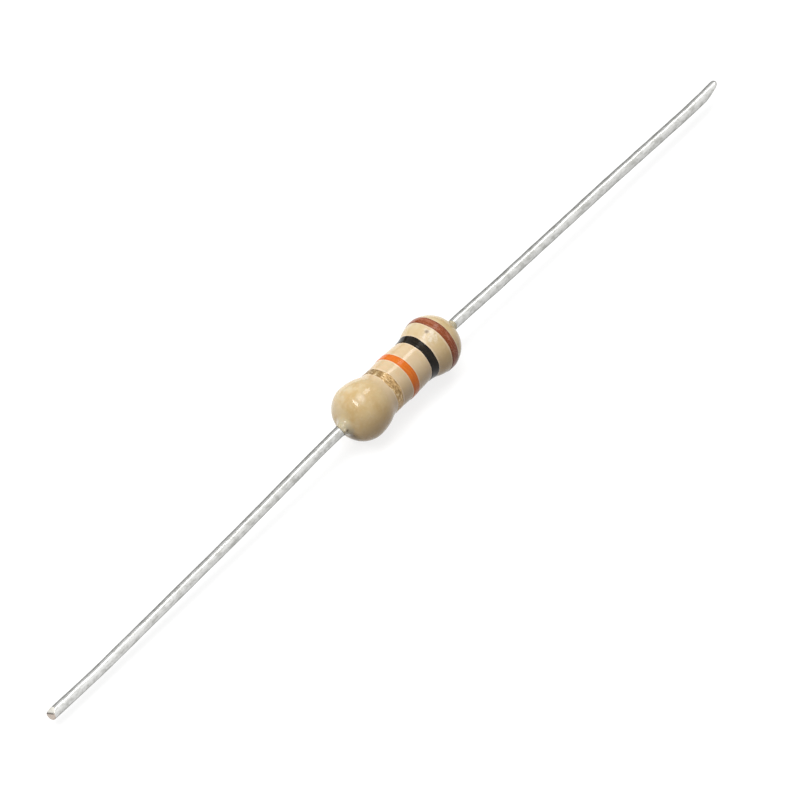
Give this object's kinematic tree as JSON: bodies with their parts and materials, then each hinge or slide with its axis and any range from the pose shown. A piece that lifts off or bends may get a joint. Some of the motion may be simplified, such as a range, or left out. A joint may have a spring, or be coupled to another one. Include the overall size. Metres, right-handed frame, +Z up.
{
  "type": "resistor",
  "caption": "Axial-lead carbon film resistor: a dog-bone resin body with colour bands and a straight tinned wire from each end.",
  "frame": {"origin": "middle of the ceramic rod, on the axis of the body", "axes": "+X along the body from the gold band towards the brown one, +Z up as the part lies on its two rounded ends"},
  "size_m": [0.057, 0.0032, 0.0032],
  "materials": {
    "ceramic_core": "matte",
    "carbon": "satin",
    "cap_steel": "satin",
    "tinned_copper": "satin",
    "resin": "gloss",
    "paint_brown": "gloss",
    "paint_black": "gloss",
    "paint_orange": "gloss",
    "paint_gold": "gloss"
  },
  "bodies": {
    "root": {"ceramic_rod": "ceramic_core", "carbon_film": "carbon", "end_cap_left": "cap_steel", "end_cap_right": "cap_steel", "lead_wire_left": "tinned_copper", "lead_wire_right": "tinned_copper", "resin_coating": "resin", "band_brown": "paint_brown", "band_black": "paint_black", "band_orange": "paint_orange", "band_gold": "paint_gold"}
  },
  "joints": []
}
